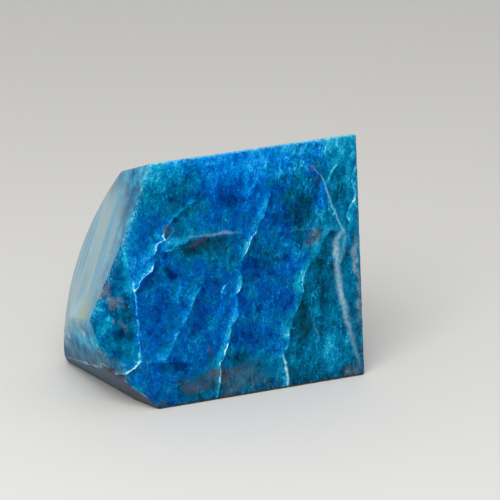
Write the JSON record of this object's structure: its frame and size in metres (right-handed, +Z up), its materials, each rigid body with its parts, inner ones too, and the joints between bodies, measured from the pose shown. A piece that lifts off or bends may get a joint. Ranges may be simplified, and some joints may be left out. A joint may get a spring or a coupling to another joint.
{
  "type": "blue apatite freeform stone",
  "caption": "Solid polished blue mineral freeform with flat ground faces, a rounded left side, a chipped lower edge and a flat foot to rest on.",
  "frame": {"origin": "bottom centre of the stone's box, on the plane that the foot rests on", "axes": "+X to the right along the front foot edge, +Y to the back, +Z up"},
  "size_m": [0.0618, 0.0394, 0.0528],
  "materials": {
    "stone": "polished"
  },
  "bodies": {
    "root": {"stone": "stone"}
  },
  "joints": []
}
